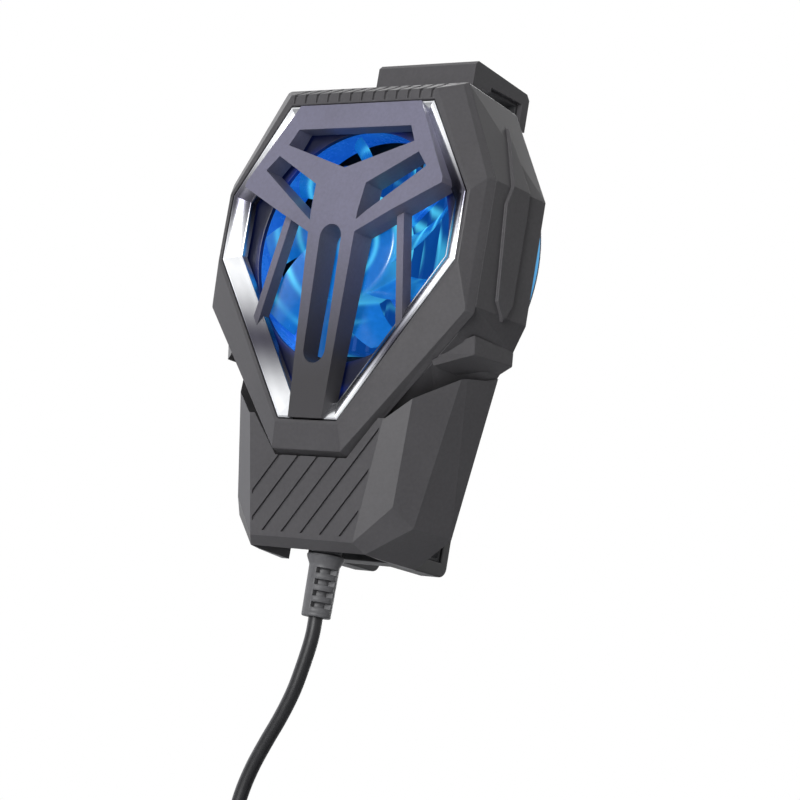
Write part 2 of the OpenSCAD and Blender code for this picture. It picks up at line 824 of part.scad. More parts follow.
module fan_shaft() color(steel) {
    peg(shaft_d / 2, rotor_front - 0.4, floor_back + 0.5);
}

module fan_bearing() color("#b08a50") {
    pipe(bearing_r, shaft_d / 2 + running_gap, tube_front, floor_back + 0.2);
}

stator_back = rotor_back + 0.6;
stator_t = 1.6;
pole_r = cup_r - 1.3;
pole_w = 1.6;

module stator_core() color("#8c8f94") {
    difference() {
        union() {
            peg(tube_r + 0.9, stator_back + stator_t, stator_back);
            for (a = [0, 90])
                rotate([0, a, 0]) plate(2 * pole_r - 0.4, pole_w, stator_back + stator_t, stator_back);
            difference() {
                pipe(pole_r, pole_r - 0.6, stator_back + stator_t, stator_back);
                for (a = [45, 135])
                    rotate([0, a, 0]) plate(4 * pole_r, 2, stator_back + stator_t + 1, stator_back - 1);
            }
        }
        peg(tube_r + fit_gap / 2, stator_back + stator_t + 1, stator_back - 1);
    }
}

module stator_coils() color("#b06a3a") {
    inner = tube_r + 1;
    for (a = [0:90:270])
        rotate([0, a, 0])
            difference() {
                plate(pole_r - inner - 0.9, pole_w + 1.4, stator_back + stator_t + 0.6, stator_back - 0.6,
                    (pole_r + inner - 0.7) / 2);
                plate(3 * pole_r, pole_w + fit_gap, stator_back + stator_t + fit_gap / 2,
                    stator_back - fit_gap / 2);
            }
}

module motor_board() color("#1f5c3a") {
    pipe(pole_r, tube_r + fit_gap, floor_back + floor_t + 0.5, floor_back + floor_t);
}

module heat_sink() color("#c6c9cc") difference() {
    corner = fan_post - post_r - 3 * fit_gap;
    union() {
        plate(sink_w, sink_w, chassis_front + sink_base_t, chassis_front);
        for (i = [0:fin_count - 1])
            plate(0.7, sink_w, fin_front, chassis_front + 0.5, (sink_w - 0.7) * (i / (fin_count - 1) - 0.5));
    }
    for (sz = [-1, 1])
        both() plate(20, 20, fin_front + 1, chassis_front - 1, corner + 10, sz * (corner + 10));
}

module thermoelectric_module() color("#f0ede6") {
    plate(module_w, module_w, module_front, module_back);
}

module module_gasket() color("#3a3a3c") difference() {
    plate(plate_w, plate_w, module_front, module_back);
    plate(module_w + 2 * fit_gap, module_w + 2 * fit_gap, module_front + 1, module_back - 1);
}

module cold_plate() color("#c6c9cc") {
    plate(plate_w, plate_w, module_back, plate_back);
}

module contact_pad() color("#8e9499") {
    plate(plate_w + 1.4, plate_w + 1.4, pad_t, 0);
}

board_top = -24.5;
board_foot = -39.5;

module main_board() color("#1f5c3a") {
    front = board_back + 1;
    plate(22, board_top - board_foot, front, board_back, 0, (board_top + board_foot) / 2);
    plate(5, 5, front + 1, front - 0.2, -5, -33);
    plate(4, 3, front + 0.9, front - 0.2, 5.5, -31);
    plate(3, 3, front + 1.8, front - 0.2, 6, -36.4);
    plate(1.6, 0.8, front + 0.6, front - 0.2, 0, -35);
    plate(1.6, 0.8, front + 0.6, front - 0.2, 0, -37);
}

module fan_lead() color("#202022") {
    top = -frame_r - frame_wall - fit_gap;
    foot = board_top - 2;
    plate(2.4, top - foot, board_back + 1.6, board_back + 1, 0, (top + foot) / 2);
}

relief_seat = -chin_drop + 0.6 * chin_rise;
relief_top = relief_seat + wall + 1.4;

module power_lead() color("#202022") {
    translate([0, relief_y, relief_top]) cylinder(d = 2, h = board_foot - relief_top);
}

hook_screw = [5, hook_z - 2.2];
lip_y = phone_t + rubber_t;

module upper_claw() color(grey) difference() {
    base = hook_z + rubber_t;
    profile([
        [-shell_back - 1.1, shell_top_z + 0.5],
        [-shell_back - 1.1, base + hook_t - 0.6],
        [-shell_back - 0.5, base + hook_t],
        [lip_y + lip_t - 0.8, base + hook_t - 1],
        [lip_y + lip_t, base + hook_t - 1.8],
        [lip_y + lip_t, hook_z - lip_h],
        [lip_y, hook_z - lip_h],
        [lip_y, base],
        [0, base],
        [0, hook_z - 0.4],
        [-core_back - fit_gap, hook_z - 0.4],
        [-core_back - fit_gap, shell_top_z - 0.6],
        [-shell_back + fit_gap, shell_top_z - 0.6],
        [-shell_back + fit_gap, shell_top_z + 0.5]
    ], hook_w);
    both() peg(screw_r, shell_back, plate_back - 1, hook_screw.x, hook_screw.y);
}

module upper_claw_pad() color("#2a2a2c") {
    profile([
        [0.3, hook_z],
        [0.3, hook_z + rubber_t],
        [lip_y, hook_z + rubber_t],
        [lip_y, hook_z - lip_h + 0.4],
        [phone_t, hook_z - lip_h + 0.4],
        [phone_t, hook_z]
    ], hook_w - 1.6);
}

// Gap that splits the reach of the lower claw into two prongs
module prong_split() {
    translate([-prong_gap / 2, 1, claw_z - 10]) cube([prong_gap, 20, 20]);
}

module lower_claw() color(black) {
    floor_z = claw_z - rubber_t;
    foot = floor_z - claw_t;
    bend = 1.6;
    slot_w = spring_d + spring_wire + 2 * slide_gap;
    difference() {
        plate(claw_w, slide_top - foot, slide_front, slide_back, 0, (slide_top + foot) / 2);
        plate(slot_w, slide_top - spring_foot + 1, slide_front + 1, slide_back - 1, 0,
            (slide_top + 1 + spring_foot) / 2);
    }
    difference() {
        profile(concat(
            [
                [-slide_back - 0.1, foot],
                [-slide_back - 0.1, floor_z],
                [lip_y, floor_z],
                [lip_y, claw_z + lip_h],
                [lip_y + lip_t, claw_z + lip_h]
            ],
            [
                for (a = [0:15:90])
                    [lip_y + lip_t - bend + bend * cos(a), foot + bend - bend * sin(a)]
            ]
        ), claw_w);
        prong_split();
    }
}

module lower_claw_pad() color("#2a2a2c") difference() {
    profile([
        [1, claw_z],
        [phone_t, claw_z],
        [phone_t, claw_z + lip_h - 0.4],
        [lip_y, claw_z + lip_h - 0.4],
        [lip_y, claw_z - rubber_t],
        [1, claw_z - rubber_t]
    ], claw_w - 0.8);
    translate([0, -1, 0]) prong_split();
}

module slide_bracket() color(steel) difference() {
    plate(2 * rail_x + rail_w, bracket_span[0] - bracket_span[1], rail_back, bracket_back, 0,
        (bracket_span[0] + bracket_span[1]) / 2);
    for (spot = bracket_screw_spots)
        both() screw_hole(spot.x, spot.y, bracket_back, 0.3, 3);
}

spring_y = -(slide_front + slide_back) / 2;

// Spring wire: straight at the pin, wound in even curls, straight at the claw
function spring_route() = concat(
    [[0, spring_y, post_z - pin_r], [0, spring_y, post_z - pin_r - 0.4]],
    [
        for (i = [0:8 * spring_curls])
            let (z = post_z - pin_r - 0.9 - (post_z - pin_r - spring_foot - 1.8) * i / (8 * spring_curls))
            [spring_d / 2 * cos(45 * i), spring_y + spring_d / 2 * sin(45 * i), z]
    ],
    [[0, spring_y, spring_foot + 0.4], [0, spring_y, spring_foot]]
);

module claw_spring() color(steel) {
    tube(spring_route(), spring_wire, 6, [0, 0.02, 1]);
}

module spring_post() color(steel) {
    peg(pin_r - 0.02, shell_back + 1.2, slide_back, 0, post_z);
}

module housing_screws() color(steel) {
    for (spot = boss_spots)
        both() screw(spot.x, spot.y, shell_back, 0.6, 5);
    both() screw(chin_boss.x, chin_boss.y, shell_back, 0.6, 5);
}

module fan_screws() color(steel) {
    top = floor_back + floor_t;
    for (sz = [-1, 1])
        both() {
            peg(head_r, top + 0.6, top, fan_post, sz * fan_post);
            peg(screw_r - fit_gap / 2, top, top - 3.6, fan_post, sz * fan_post);
        }
}

module back_screws() color(steel) {
    for (spot = back_screw_spots)
        both() screw(spot.x, spot.y, plate_back, 0.6, 3);
}

module bracket_screws() color(steel) {
    for (spot = bracket_screw_spots)
        both() screw(spot.x, spot.y, bracket_back, 0.3, 2.6);
}

module claw_screws() color(steel) {
    both() screw(hook_screw.x, hook_screw.y, plate_back, 0.6, 2.6);
}

module strain_relief() color("#3a3a3d") {
    flange_top = -chin_drop - fit_gap / 2;
    slot_pitch = (relief_len - 2.6) / 4;
    translate([0, relief_y, 0]) difference() {
        union() {
            translate([0, 0, relief_top - 1.2]) cylinder(d = relief_d + 1.8, h = 1.2);
            translate([0, 0, relief_foot]) cylinder(d = relief_d, h = relief_top - relief_foot - 0.1);
            translate([0, 0, flange_top - 1.2]) cylinder(d = relief_d + 1.2, h = 1.2);
        }
        for (i = [0:3])
            both() translate([relief_d / 5, -relief_d, flange_top - 2.8 - slot_pitch * i])
                cube([relief_d, 2 * relief_d, slot_pitch * 0.5]);
    }
}

module cable() color(black) {
    tube(lead_route, cable_d, 8, [0, 1, 0]);
}

// Point on the coil after a number of turns: spirals in and out at a steady rate, layer on layer
function coil_layer(turn) = floor(turn / coil_turns + 0.5);
function coil_point(turn) =
    let (
        sweep = turn % (2 * coil_turns),
        r = coil_outer_r - coil_pitch * min(sweep, 2 * coil_turns - sweep),
        swap = coil_layer(turn),
        near = turn - swap * coil_turns,
        ends = swap == 0 || swap == coil_layers,
        climb = ends ? (swap == 0 ? 0 : -1) : min(max(near / 0.5 - 0.5, -1), 0),
        layer = min(swap + climb, coil_layers - 1)
    )
    [
        coil_x + r * cos(180 + 360 * turn),
        relief_y + coil_pitch * layer,
        coil_z + r * sin(180 + 360 * turn)
    ];
coil_rings = 24 * coil_turns * coil_layers;
coil_body = [for (i = [0:coil_rings]) coil_point(i / 24)];
coil_route = concat(
    [coil_body[0] + [0, 0, cable_d]],
    coil_body,
    [coil_body[coil_rings] - [0, 0, cable_d]]
);

// Least clear distance between stretches of the coil over half a turn apart
coil_least = min([
    for (i = [0:coil_rings])
        for (j = [i + 13:1:coil_rings])
            norm(coil_body[i] - coil_body[j])
]) - cable_d;
echo(coil_least_gap = coil_least);

module cable_coil() color(black) {
    tube(coil_route, cable_d, 6, [0, 1, 0]);
}

tail_top = coil_route[coil_rings + 2];
plug_top = coil_z - tail_len;

module cable_tail() color(black) {
    translate([tail_top.x, tail_top.y, plug_top]) cylinder(d = cable_d, h = tail_top.z - plug_top);
}

module cable_tie() color("#2a2a2c") {
    deep = coil_pitch * (coil_layers - 1) + cable_d + 1;
    tall = coil_outer_r - coil_inner_r + cable_d + 1.4;
    mid_y = relief_y + coil_pitch * (coil_layers - 1) / 2;
    mid_z = coil_z - (coil_outer_r + coil_inner_r) / 2 + 0.2;
    translate([coil_x, mid_y, mid_z])
        difference() {
            cube([4, deep + 1.2, tall + 1.2], center = true);
            cube([5, deep, tall], center = true);
        }
}

plug_body_len = 20;
plug_neck = 5;
plug_shell_len = 16;
plug_foot = plug_top - plug_neck - plug_body_len;

module plug_body() color(black) translate([tail_top.x, tail_top.y, 0]) {
    translate([0, 0, plug_top - plug_neck]) cylinder(d = 4.6, h = plug_neck);
    translate([-7.8, -3.8, plug_foot]) cube([15.6, 7.6, plug_body_len + 0.1]);
}

plug_end = [tail_top.x, tail_top.y, plug_foot - plug_shell_len];

module plug_shell() color(steel) translate(plug_end) difference() {
    translate([-6, -2.25, 0]) cube([12, 4.5, plug_shell_len]);
    translate([-5.7, -1.95, -1]) cube([11.4, 3.9, plug_shell_len + 0.5]);
    both() translate([1.7, -3, 5]) cube([2.2, 6, 2.2]);
}

module plug_tongue() color("#e8e8ea") translate(plug_end) {
    translate([-5.6, 0, 1]) cube([11.2, 1.9, plug_shell_len - 1.5]);
}

front_bezel();
chrome_trim();
grille();
fan_shroud();
mid_housing();
chin_cover();
chassis();
back_plate();
light_ring();
lamp_board();
lamps();
fan_frame();
fan_rotor();
rotor_magnet();
fan_shaft();
fan_bearing();
stator_core();
stator_coils();
motor_board();
heat_sink();
thermoelectric_module();
module_gasket();
cold_plate();
contact_pad();
main_board();
fan_lead();
power_lead();
upper_claw();
upper_claw_pad();
lower_claw();
lower_claw_pad();
slide_bracket();
claw_spring();
spring_post();
housing_screws();
fan_screws();
back_screws();
bracket_screws();
claw_screws();
strain_relief();
cable();
cable_coil();
cable_tail();
cable_tie();
plug_body();
plug_shell();
plug_tongue();
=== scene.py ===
"""Looks of a clip-on phone cooler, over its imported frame: a faceted gunmetal shell round a lit fan."""

import math

import bmesh
import bpy
import numpy as np
from mathutils import Matrix, Vector


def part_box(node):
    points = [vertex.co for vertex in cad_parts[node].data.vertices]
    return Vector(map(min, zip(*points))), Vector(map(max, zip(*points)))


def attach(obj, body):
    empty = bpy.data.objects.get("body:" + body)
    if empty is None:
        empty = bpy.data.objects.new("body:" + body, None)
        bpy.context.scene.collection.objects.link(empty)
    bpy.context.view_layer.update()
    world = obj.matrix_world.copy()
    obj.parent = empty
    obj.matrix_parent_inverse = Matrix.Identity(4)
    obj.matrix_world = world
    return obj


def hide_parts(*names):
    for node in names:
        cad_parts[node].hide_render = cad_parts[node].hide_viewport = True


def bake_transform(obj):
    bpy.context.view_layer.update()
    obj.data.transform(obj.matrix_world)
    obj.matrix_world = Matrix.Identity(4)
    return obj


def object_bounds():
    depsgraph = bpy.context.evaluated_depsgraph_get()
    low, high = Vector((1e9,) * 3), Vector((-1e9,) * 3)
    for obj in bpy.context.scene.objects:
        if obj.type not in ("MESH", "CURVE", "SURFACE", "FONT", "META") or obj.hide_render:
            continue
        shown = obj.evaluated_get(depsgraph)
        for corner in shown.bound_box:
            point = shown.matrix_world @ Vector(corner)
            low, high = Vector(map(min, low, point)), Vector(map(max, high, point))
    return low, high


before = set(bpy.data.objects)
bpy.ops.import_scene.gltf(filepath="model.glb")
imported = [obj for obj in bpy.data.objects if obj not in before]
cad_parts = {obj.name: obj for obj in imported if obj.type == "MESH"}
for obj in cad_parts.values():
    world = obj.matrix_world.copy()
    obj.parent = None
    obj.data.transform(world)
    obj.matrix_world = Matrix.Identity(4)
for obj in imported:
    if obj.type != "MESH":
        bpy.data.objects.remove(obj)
cad_low, cad_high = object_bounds()

MM = 0.001
TURN = 2 * math.pi


# Camera: the photograph's angle, from the outlines of the shell and the chin

CAMERA_AZIMUTH = math.radians(39.0)
CAMERA_ELEVATION = math.radians(-9.67)
CAMERA_ROLL = math.radians(9.57)
CAMERA_DISTANCE = 406 * MM
AIM_POINT = Vector((0, 0, -3.24 * MM))
PICTURE_PX = 800
FOCAL_PX = 2650
LENS_AXIS_PX = (402, 371)
AIM_PX = (408.3, 293.5)


def place_camera():
    """A camera that sees the aim point at its own pixel, from the given angles and distance."""
    side, lift = CAMERA_AZIMUTH, CAMERA_ELEVATION
    look = Vector((-math.sin(side) * math.cos(lift), math.cos(side) * math.cos(lift), -math.sin(lift)))
    level = Vector((math.cos(side), math.sin(side), 0))
    upright = level.cross(look)
    right = level * math.cos(CAMERA_ROLL) + upright * math.sin(CAMERA_ROLL)
    up = upright * math.cos(CAMERA_ROLL) - level * math.sin(CAMERA_ROLL)
    across = (AIM_PX[0] - LENS_AXIS_PX[0]) / FOCAL_PX
    down = (AIM_PX[1] - LENS_AXIS_PX[1]) / FOCAL_PX
    data = bpy.data.cameras.new("photo_camera")
    data.sensor_width = 36
    data.lens = data.sensor_width * FOCAL_PX / PICTURE_PX
    data.shift_x = (PICTURE_PX / 2 - LENS_AXIS_PX[0]) / PICTURE_PX
    data.shift_y = (LENS_AXIS_PX[1] - PICTURE_PX / 2) / PICTURE_PX
    data.clip_start, data.clip_end = 0.01, 50
    camera = bpy.data.objects.new("photo_camera", data)
    bpy.context.scene.collection.objects.link(camera)
    turn = Matrix((right, up, -look)).transposed().to_4x4()
    spot = AIM_POINT - CAMERA_DISTANCE * (right * across - up * down + look)
    camera.matrix_world = Matrix.Translation(spot) @ turn
    bpy.context.scene.camera = camera


place_camera()


# Finishes

MIX_A, MIX_B, MIX_OUT = 6, 7, 2
TONE_FROM, TONE_TO = 0.6, 1.4
RING_SHARPNESS = 5.0
ARC_FROM, ARC_TO = 0.38, 0.66
LIT_LINE_Y, LIT_LINE_HALF = -3.2, 0.55


def linear(code):
    """Linear colour with alpha from an sRGB hex code."""
    parts = [int(code[i:i + 2], 16) / 255 for i in (1, 3, 5)]
    return (*[c / 12.92 if c <= 0.04045 else ((c + 0.055) / 1.055) ** 2.4 for c in parts], 1.0)


def add(tree, kind, inputs=None, **settings):
    """One node with its settings, its inputs filled with plain values or linked from other sockets."""
    made = tree.nodes.new(kind)
    for key, value in settings.items():
        setattr(made, key, value)
    for key, value in (inputs or {}).items():
        if isinstance(value, bpy.types.NodeSocket):
            tree.links.new(value, made.inputs[key])
        else:
            made.inputs[key].default_value = value
    return made


def per(size_mm):
    """Texture scale whose features are about this many millimetres."""
    return 1 / (size_mm * MM)


def rings_per(pitch_mm):
    """Scale of a ring wave, which runs 20 / (2 pi) waves a unit, for this pitch in millimetres."""
    return TURN / 20 / (pitch_mm * MM)


def opened(made):
    """A finish's node tree, its shader and a new source of Object coordinates."""
    tree = made.node_tree
    return tree, tree.nodes["Principled BSDF"], add(tree, "ShaderNodeTexCoord").outputs["Object"]


def finish(name, light, dark, tone_mm, rough, grain_mm, grain_rise_mm, stretch=(1, 1, 1), **fixed):
    """Two close tones in soft patches, a roughness that follows them, and a fine grain raised as bump.
    rough is the smoothest and roughest value; stretch draws the pattern out along an axis; fixed values
    go straight onto the shader's own sockets, with underscores for spaces."""
    made = bpy.data.materials.new(name)
    made.use_nodes = True
    tree, shader, place = opened(made)
    for key, value in fixed.items():
        shader.inputs[key.replace("_", " ")].default_value = value
    drawn = add(tree, "ShaderNodeMapping", {"Vector": place, "Scale": stretch}).outputs["Vector"]
    patch = add(tree, "ShaderNodeTexNoise", {"Vector": drawn, "Scale": per(tone_mm), "Detail": 3.0})
    grain = add(tree, "ShaderNodeTexNoise", {"Vector": drawn, "Scale": per(grain_mm), "Detail": 2.0})
    both = add(tree, "ShaderNodeMath", {0: patch.outputs["Fac"], 1: grain.outputs["Fac"]}, operation="ADD")
    tone = add(tree, "ShaderNodeMapRange", {"Value": both.outputs[0], "From Min": TONE_FROM,
                                            "From Max": TONE_TO})
    paint = add(tree, "ShaderNodeMix", {0: tone.outputs[0], MIX_A: linear(dark), MIX_B: linear(light)},
                data_type="RGBA")
    gloss = add(tree, "ShaderNodeMapRange", {"Value": both.outputs[0], "From Min": TONE_FROM,
                                             "From Max": TONE_TO, "To Min": rough[0], "To Max": rough[1]})
    raised = add(tree, "ShaderNodeBump", {"Height": grain.outputs["Fac"], "Distance": grain_rise_mm * MM,
                                          "Strength": 0.6})
    tree.links.new(paint.outputs[MIX_OUT], shader.inputs["Base Color"])
    tree.links.new(gloss.outputs[0], shader.inputs["Roughness"])
    tree.links.new(raised.outputs[0], shader.inputs["Normal"])
    return made


def lit(made, glow, spark, pitch_mm, reach_mm, strength):
    """Adds light to a finish: rings about the fan axis, broken into arcs by a broad noise, run from the
    glow colour to the spark colour."""
    tree, shader, place = opened(made)
    ring = add(tree, "ShaderNodeTexWave", {"Vector": place, "Scale": rings_per(pitch_mm), "Distortion": 0.8,
                                           "Detail": 1.0}, wave_type="RINGS", rings_direction="Y")
    thin = add(tree, "ShaderNodeMath", {0: ring.outputs["Fac"], 1: RING_SHARPNESS}, operation="POWER")
    broad = add(tree, "ShaderNodeTexNoise", {"Vector": place, "Scale": per(reach_mm), "Detail": 1.0})
    arc = add(tree, "ShaderNodeMapRange", {"Value": broad.outputs["Fac"], "From Min": ARC_FROM,
                                           "From Max": ARC_TO})
    part = add(tree, "ShaderNodeMath", {0: thin.outputs[0], 1: arc.outputs[0]}, operation="MULTIPLY")
    colour = add(tree, "ShaderNodeMix", {0: part.outputs[0], MIX_A: linear(glow), MIX_B: linear(spark)},
                 data_type="RGBA")
    tree.links.new(colour.outputs[MIX_OUT], shader.inputs["Emission Color"])
    shader.inputs["Emission Strength"].default_value = strength
    return made


def painted_shade_low(made, colour, low_mm, high_mm):
    """Paints shade into a finish: takes its paint to another colour towards the bottom, as painted shade.
    The share falls from one at the low height to none at the high one."""
    tree, shader, place = opened(made)
    paint = shader.inputs["Base Color"].links[0].from_socket
    height = add(tree, "ShaderNodeSeparateXYZ", {"Vector": place}).outputs["Z"]
    share = add(tree, "ShaderNodeMapRange", {"Value": height, "From Min": low_mm * MM,
                                             "From Max": high_mm * MM, "To Min": 1.0, "To Max": 0.0},
                interpolation_type="SMOOTHSTEP")
    # painted shade: the paint darkens towards the low height
    mixed = add(tree, "ShaderNodeMix", {0: share.outputs[0], MIX_A: paint, MIX_B: linear(colour)},
                data_type="RGBA")
    tree.links.new(mixed.outputs[MIX_OUT], shader.inputs["Base Color"])
    return made


def painted_reflection_bands(made, colour, pitch_mm, phase):
    """Paints reflections into a finish: takes its paint towards another colour in soft waves along the
    height, of this pitch, as painted reflection of darker surroundings.
    """
    tree, shader, place = opened(made)
    paint = shader.inputs["Base Color"].links[0].from_socket
    wave = add(tree, "ShaderNodeTexWave", {"Vector": place, "Scale": rings_per(pitch_mm),
                                           "Phase Offset": phase}, wave_type="BANDS", bands_direction="Z")
    # painted reflection: soft grey bands across the paint
    mixed = add(tree, "ShaderNodeMix", {0: wave.outputs["Fac"], MIX_A: linear(colour), MIX_B: paint},
                data_type="RGBA")
    tree.links.new(mixed.outputs[MIX_OUT], shader.inputs["Base Color"])
    return made


def banded(made, middle_mm, half_mm):
    """Keeps a finish's light to one line round the fan axis, where the depth is within half the line's
    width of its middle."""
    tree, shader, place = opened(made)
    strength = shader.inputs["Emission Strength"].default_value
    depth = add(tree, "ShaderNodeSeparateXYZ", {"Vector": place}).outputs["Y"]
    inside = add(tree, "ShaderNodeMath", {0: depth, 1: middle_mm * MM, 2: half_mm * MM},
                 operation="COMPARE")
    level = add(tree, "ShaderNodeMath", {0: inside.outputs[0], 1: strength}, operation="MULTIPLY")
    tree.links.new(level.outputs[0], shader.inputs["Emission Strength"])
    return made


# Moulded ABS under a gunmetal lacquer: an even dark satin, its spark-eroded grain drawn at 0.5 mm
gunmetal_lacquer = finish("gunmetal_lacquer", "#4b4a4c", "#434244", 9, (0.34, 0.42), 0.5, 0.004,
                          IOR=1.45, Specular_IOR_Level=0.18)
# The same lacquer on the grille, a paler violet-grey, with painted shade taking it to gunmetal grey at the
# foot
violet_lacquer_painted_shade = painted_shade_low(finish("violet_lacquer_painted_shade", "#6b6a7c", "#61606e", 9, (0.32, 0.4), 0.5, 0.004,
                              IOR=1.45, Specular_IOR_Level=0.2), "#3c3b3d", -22, 4)
# Chrome on plastic: a bright mirror with a faint orange-peel wave, with painted reflection taking it to
# grey in soft bands
chrome_plate_painted_reflection = painted_reflection_bands(finish("chrome_plate_painted_reflection", "#f6f7f9", "#ebedf0", 6, (0.2, 0.27), 2.5, 0.006,
                             Metallic=1.0), "#4c4b54", 22, -2.0)
# Moulded black ABS: fine matte texture
black_abs = finish("black_abs", "#222224", "#18181a", 6, (0.42, 0.56), 0.4, 0.012, IOR=1.5)
# Black ABS round the fan: the same moulding, glossier, with a deep blue glow from the lamps behind it
shroud_abs = lit(finish("shroud_abs", "#1a1b22", "#121318", 5, (0.3, 0.4), 0.4, 0.008, IOR=1.5),
                 "#050c30", "#0a2a8c", 4, 16, 0.6)
# Smoked acrylic light guide: dark, with one line of blue light and faint flow marks
light_guide = banded(lit(finish("light_guide", "#24405e", "#1a3048", 7, (0.2, 0.3), 1.2, 0.01, IOR=1.49),
                         "#1f86c4", "#3f9fd8", 3, 14, 0.9), LIT_LINE_Y, LIT_LINE_HALF)
# Tinted polycarbonate blades, lit from their rim: a glossy blue body with cyan arcs
blue_polycarbonate = lit(finish("blue_polycarbonate", "#114f96", "#0a3a72", 8, (0.18, 0.3), 1.0, 0.006,
                                IOR=1.58), "#0a5698", "#5fe4ff", 3.4, 18, 0.95)
# Pale blue polycarbonate of the fan frame: glossy, and it carries the lamps' light in arcs
frame_polycarbonate = lit(finish("frame_polycarbonate", "#3f8ce8", "#2c6fd0", 8, (0.2, 0.32), 1.0, 0.006,
                                 IOR=1.58), "#0a4a9a", "#2fb4ee", 3.4, 12, 0.6)
# Lamp caps: clear resin over a bright die
lamp_resin = lit(finish("lamp_resin", "#e6f4ff", "#cfe8ff", 0.8, (0.1, 0.2), 0.4, 0.004, IOR=1.5),
                 "#5fc0ff", "#c8f0ff", 1, 2, 6.0)
# Zinc-plated steel: drawn along its length, slightly dull
zinc_steel = finish("zinc_steel", "#c4c6c9", "#a9abaf", 3, (0.24, 0.38), 0.3, 0.004, (1, 1, 6),
                    Metallic=1.0)
# Spring steel wire: bright and hard-drawn
spring_wire = finish("spring_wire", "#cfd1d4", "#b2b4b8", 1.2, (0.18, 0.3), 0.3, 0.003, Metallic=1.0)
# Nickel plate on the plug's folded shell: warmer and softer than chrome
nickel_plate = finish("nickel_plate", "#cfcdc8", "#bab8b3", 4, (0.16, 0.28), 0.4, 0.004, (1, 1, 5),
                      Metallic=1.0)
# Extruded and milled aluminium: fine lines along the fins
milled_aluminium = finish("milled_aluminium", "#d4d6d9", "#bcbfc3", 4, (0.26, 0.4), 0.25, 0.005, (8, 8, 1),
                          Metallic=1.0)
# The same under a deep blue anodised film, which carries the lamps' light in arcs
blue_anodised = lit(finish("blue_anodised", "#17386e", "#10284f", 4, (0.34, 0.48), 0.25, 0.005, (8, 8, 1),
                           Metallic=0.5), "#083f86", "#4fcdf4", 3.4, 16, 0.9)
# Sintered bronze: dull and porous
sintered_bronze = finish("sintered_bronze", "#b48a4e", "#8e6a38", 1, (0.4, 0.55), 0.2, 0.01, Metallic=1.0)
# Enamelled copper winding: fine turns, drawn at 0.3 mm
enamelled_copper = finish("enamelled_copper", "#c8763c", "#94491c", 1, (0.22, 0.36), 0.3, 0.03, (6, 1, 6),
                          Metallic=0.8)
# Bonded ferrite: dark and stony
bonded_ferrite = finish("bonded_ferrite", "#3c3d41", "#2c2d30", 1.5, (0.5, 0.65), 0.3, 0.01, Metallic=0.3)
# Solder resist over glass laminate: green gloss with a faint weave
solder_resist = finish("solder_resist", "#1f6a41", "#17512f", 2.5, (0.2, 0.34), 0.5, 0.012, IOR=1.55)
# Alumina ceramic: white and dense
alumina = finish("alumina", "#f1efe9", "#e2dfd7", 3, (0.34, 0.46), 0.4, 0.006, IOR=1.7)
# Closed-cell foam: open pits at the cut
cell_foam = finish("cell_foam", "#3c3c3f", "#28282a", 1.2, (0.8, 0.95), 0.4, 0.06, IOR=1.4)
# Thermal silicone: soft grey with filler specks
thermal_silicone = finish("thermal_silicone", "#a3a8ad", "#8b9095", 1.6, (0.55, 0.7), 0.35, 0.03, IOR=1.42)
# Soft rubber of the claw pads and the tie: dull and dark, with a fine moulded grain
soft_rubber = finish("soft_rubber", "#303032", "#232325", 3, (0.6, 0.75), 0.5, 0.03, IOR=1.5)
# Flexible moulding of the strain relief: dark grey with a dusty sheen
relief_rubber = finish("relief_rubber", "#5c5c5e", "#4c4c4e", 3, (0.45, 0.56), 0.4, 0.01, IOR=1.5,
                       Specular_IOR_Level=0.3)
# Extruded cable jacket: black, faintly drawn along its length
cable_jacket = finish("cable_jacket", "#232325", "#19191b", 4, (0.36, 0.46), 0.6, 0.008, (2, 2, 0.5),
                      IOR=1.5, Specular_IOR_Level=0.3)
# White moulded nylon insert in the plug: clean, with a soft sheen
white_insert = finish("white_insert", "#ececee", "#dedee1", 4, (0.36, 0.48), 0.5, 0.005, IOR=1.5)
# Gold-flashed contacts: warm and bright, drawn along their length
gold_flash = finish("gold_flash", "#e2b65a", "#c99a3c", 2, (0.18, 0.3), 0.3, 0.003, (1, 1, 4), Metallic=1.0)


# Surfaces

MERGE_GAP = 0.002 * MM
FLAT_TURN = math.radians(0.6)
ROUND_FACET_TURN = math.radians(10.5)
FOLD_TURN = math.radians(3.0)
BROAD_FACE = 4 * MM ** 2
EASE_SEGMENTS = 3


def grid(points, close_u=False, close_v=False):
    """Vertices and quads of a grid of points, rows along u and columns along v, closed round either way."""
    rows, columns = points.shape[:2]
    u = np.arange(rows if close_u else rows - 1)[:, None]
    v = np.arange(columns if close_v else columns - 1)[None, :]
    u_next, v_next = (u + 1) % rows, (v + 1) % columns
    corners = (u * columns + v, u * columns + v_next, u_next * columns + v_next, u_next * columns + v)
    return points.reshape(-1, 3), np.stack(np.broadcast_arrays(*corners), -1).reshape(-1, 4)


def capped(rings):
    """Rings of points with a pole added at the middle of the first and the last, to close the tube."""
    first = np.broadcast_to(rings[:1].mean(1, keepdims=True), rings[:1].shape)
    last = np.broadcast_to(rings[-1:].mean(1, keepdims=True), rings[-1:].shape)
    return np.concatenate([first, rings, last])


def dress(made, body, replaced):
    """Puts a piece on its body, if it rides on one and the nodes it stands for."""
    bpy.context.scene.collection.objects.link(made)
    if body:
        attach(made, body)
    if replaced:
        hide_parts(*replaced)
    return made


